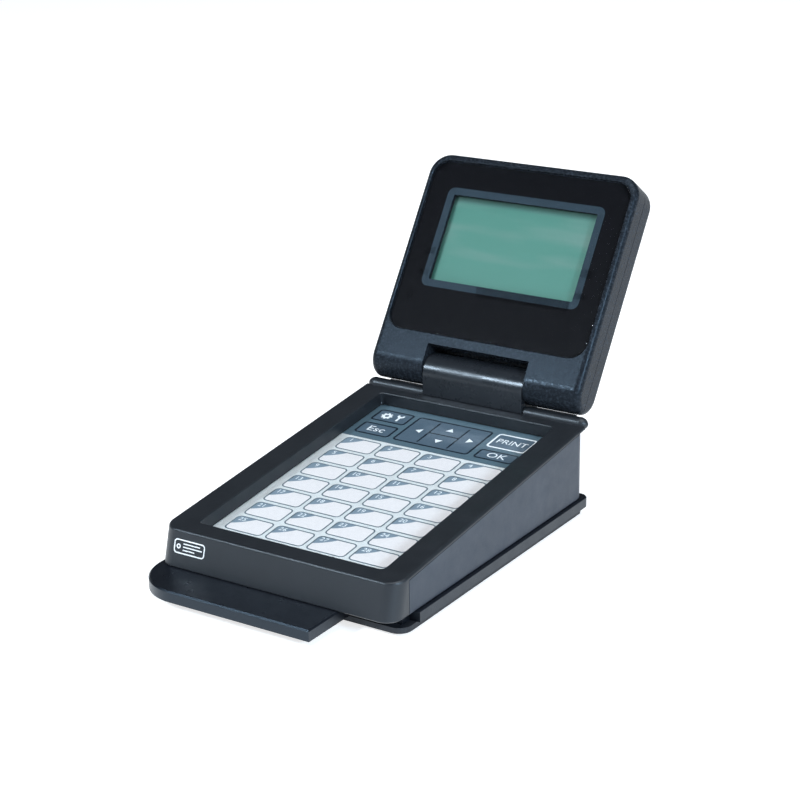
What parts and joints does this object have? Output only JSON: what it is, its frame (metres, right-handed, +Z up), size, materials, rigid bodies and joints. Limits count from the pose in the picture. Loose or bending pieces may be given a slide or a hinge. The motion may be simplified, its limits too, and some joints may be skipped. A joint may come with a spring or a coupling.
{
  "type": "label maker",
  "caption": "Desk console of a label maker: wedge case with a printed touch key sheet, docking base with a tongue, and a folding graphic display.",
  "frame": {"origin": "centre of the bounding box, on the surface that the feet stand on", "axes": "+X to the user's right, +Y away from the user (the display leans that way), +Z up"},
  "size_m": [0.1024, 0.2122, 0.1212],
  "materials": {
    "base_plastic": "fine moulded texture, charcoal",
    "underlay": "matt, near black",
    "rubber": "soft matt",
    "screw_steel": "zinc plated",
    "case_plastic": "fine spark-eroded texture, charcoal",
    "housing_plastic": "smooth satin, charcoal",
    "hinge_steel": "bare steel",
    "clear_film": "clear gloss film",
    "printed_sheet": "printed sheet, white keys and a slate band",
    "touch_glass": "clear glass",
    "support_aluminium": "bare sheet",
    "circuit_board": "green solder mask",
    "chip_black": "black epoxy",
    "socket_steel": "tin plated",
    "flex_film": "amber polyimide film",
    "cable_jacket": "black jacket",
    "lid_plastic": "spark-eroded texture, charcoal",
    "lens_clear": "clear polished acrylic",
    "lens_print": "black print on the back of the lens",
    "ring_print": "slate print round the window",
    "lcd_frame_steel": "blackened steel",
    "lcd_green": "reflective green graphic LCD",
    "backlight_white": "milky light guide"
  },
  "bodies": {
    "base": {"base_plate": "base_plastic", "base_underlay": "underlay", "rubber_feet": "rubber", "base_screws": "screw_steel", "bottom_case": "case_plastic", "case_screws": "screw_steel", "top_case": "case_plastic", "hinge_housing": "housing_plastic", "housing_screws": "screw_steel", "hinge_bracket_left": "hinge_steel", "hinge_bracket_right": "hinge_steel", "friction_washers_left": "hinge_steel", "friction_washers_right": "hinge_steel", "cover_sheet": "clear_film", "key_sheet": "printed_sheet", "touch_panel": "touch_glass", "panel_gasket": "rubber", "support_plate": "support_aluminium", "main_board": "circuit_board", "board_chips": "chip_black", "host_socket": "socket_steel", "buzzer": "chip_black", "board_screws": "screw_steel", "touch_flex": "flex_film", "display_cable_base": "cable_jacket"},
    "display": {"hinge_nut_left": "hinge_steel", "hinge_nut_right": "hinge_steel", "hinge_arm_left": "hinge_steel", "hinge_arm_right": "hinge_steel", "display_cable_lid": "cable_jacket", "display_front_shell": "lid_plastic", "display_back_shell": "lid_plastic", "display_lens": "lens_clear", "lens_mask": "lens_print", "window_ring": "ring_print", "lcd_frame": "lcd_frame_steel", "lcd_glass": "lcd_green", "backlight": "backlight_white", "lcd_board": "circuit_board", "lid_screws": "screw_steel"}
  },
  "joints": [
    {"name": "display_hinge", "type": "hinge", "parent": "base", "child": "display", "pos_m": [0, 0.05023, 0.0459], "axis": [1, 0, 0], "range_deg": [-8, 130]}
  ]
}
